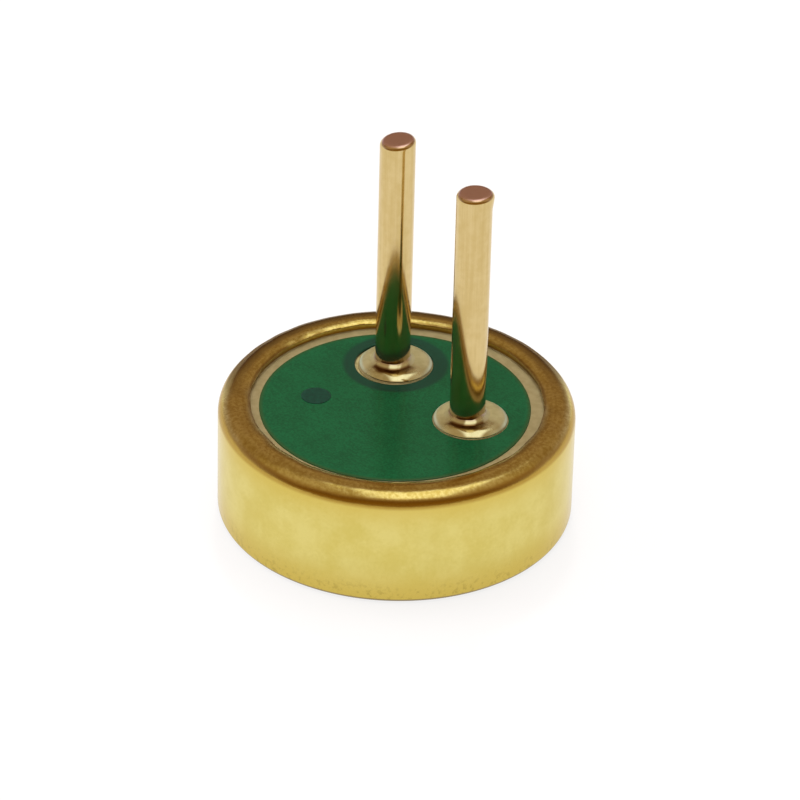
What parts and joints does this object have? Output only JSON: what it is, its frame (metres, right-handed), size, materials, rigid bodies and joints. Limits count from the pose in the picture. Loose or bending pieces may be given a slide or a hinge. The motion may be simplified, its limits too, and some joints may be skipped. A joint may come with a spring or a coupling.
{
  "type": "electret microphone capsule",
  "caption": "Round gold-plated electret microphone capsule with a crimped metal case, a green circuit board at the back and straight solder pins.",
  "frame": {"origin": "centre of the front face, the one with the sound holes, on which the capsule stands", "axes": "+Z along the axis of the case towards the pins, +X from the signal pin to the ground pin, +Y towards the side of the board where the row of pins stands"},
  "size_m": [0.006, 0.006, 0.0064],
  "materials": {
    "case_gold": "thin gold plating on drawn brass, satin with fine drawing lines",
    "pin_gold": "thin gold plating on copper wire, bare copper at the sheared end",
    "pad_gold": "matt immersion gold on copper",
    "ring_brass": "plain stamped and turned brass",
    "tin": "tin plating and solder",
    "copper": "plated copper barrel",
    "mask_green": "glossy green solder mask",
    "mark_ink": "dark green printed ink",
    "laminate": "glass-epoxy laminate",
    "black_resin": "black moulding compound",
    "film": "thin clear polymer film",
    "ceramic_tan": "tan capacitor ceramic",
    "screen_cloth": "fine black woven screen"
  },
  "bodies": {
    "root": {"case": "case_gold", "dust_screen": "screen_cloth", "diaphragm_ring": "ring_brass", "diaphragm": "film", "spacer_ring": "film", "electret_film": "film", "backplate": "ring_brass", "holder": "black_resin", "gate_ring": "ring_brass", "board": "laminate", "ground_plane": "pad_gold", "signal_pad": "pad_gold", "solder_mask": "mask_green", "index_mark": "mark_ink", "gate_track": "pad_gold", "drain_track": "pad_gold", "source_track": "pad_gold", "signal_via": "copper", "ground_via": "copper", "transistor_body": "black_resin", "transistor_leads": "tin", "capacitor_bodies": "ceramic_tan", "capacitor_ends": "tin", "chip_solder": "tin", "signal_solder": "tin", "ground_solder": "tin", "signal_pin": "pin_gold", "ground_pin": "pin_gold"}
  },
  "joints": []
}
